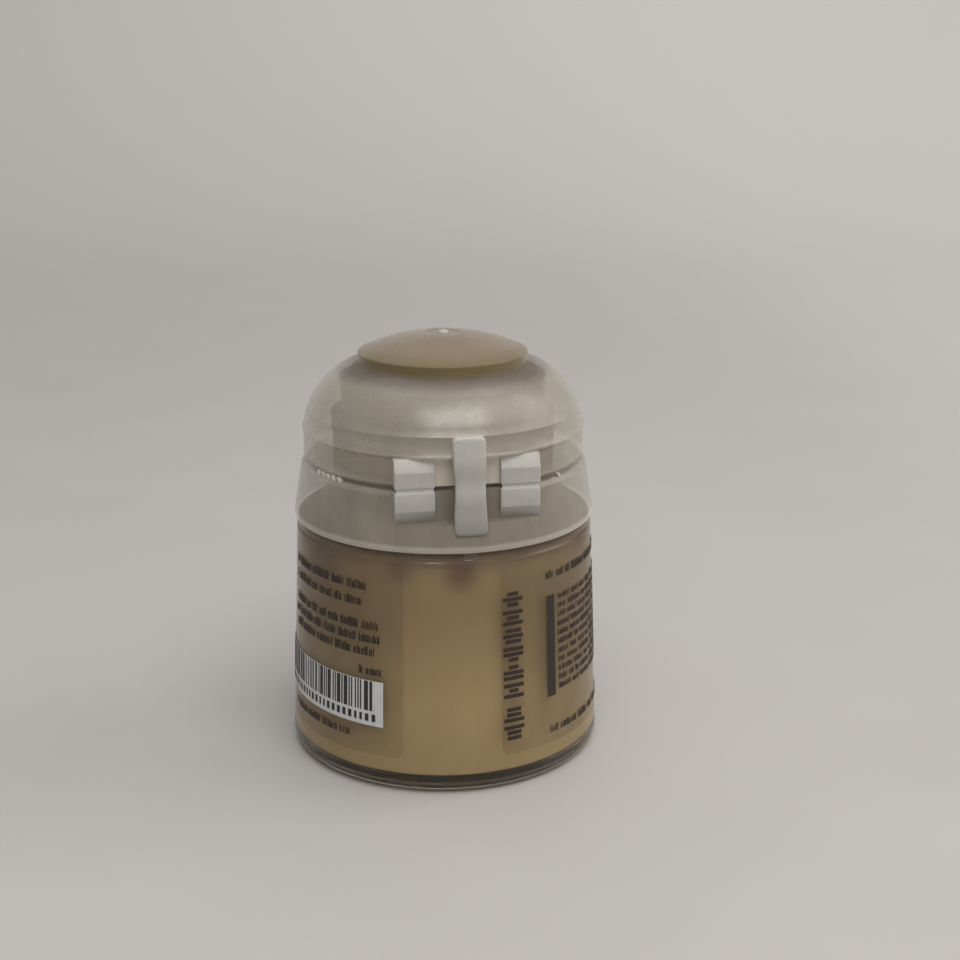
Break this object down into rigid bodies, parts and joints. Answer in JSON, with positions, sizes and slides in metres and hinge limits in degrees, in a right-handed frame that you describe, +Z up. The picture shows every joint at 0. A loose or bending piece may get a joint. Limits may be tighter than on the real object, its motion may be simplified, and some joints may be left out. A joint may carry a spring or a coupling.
{
  "type": "paint jar",
  "caption": "Small round translucent plastic paint jar with a push-fit collar, a domed flip-top lid on a moulded strap hinge, a film label and paint inside.",
  "frame": {"origin": "centre of the base, on the plane it stands on", "axes": "+Z up along the jar's axis, +Y towards the lid's hinge, -Y towards the thumb tab"},
  "size_m": [0.0334, 0.0334, 0.045],
  "materials": {
    "jar": "clear, slightly milky moulded polypropylene with a smooth surface",
    "closure": "frosted, translucent moulded polypropylene",
    "strap": "frosted polypropylene, whitened where it flexes",
    "label": "thin clear printed film",
    "paint": "tan acrylic paint, wet"
  },
  "bodies": {
    "pot": {"jar": "jar", "paint_fill": "paint", "label_film": "label", "index_lug": "jar", "collar": "closure", "bridge_stubs": "closure", "leaf_lower_left": "strap", "leaf_lower_right": "strap", "strap_root_lower": "strap", "hinge_film_left": "strap", "hinge_film_right": "strap", "spring_strap": "strap"},
    "lid": {"lid_shell": "closure", "seal_plug": "closure", "thumb_tab": "closure", "gate_nub": "closure", "leaf_upper_left": "strap", "leaf_upper_right": "strap", "strap_root_upper": "strap"}
  },
  "joints": [
    {"name": "lid_hinge", "type": "hinge", "parent": "pot", "child": "lid", "pos_m": [0, 0.0141, 0.0319], "axis": [-1, 0, 0], "range_deg": [0, 105], "deforming": ["spring_strap", "hinge_film_left", "hinge_film_right"]}
  ]
}
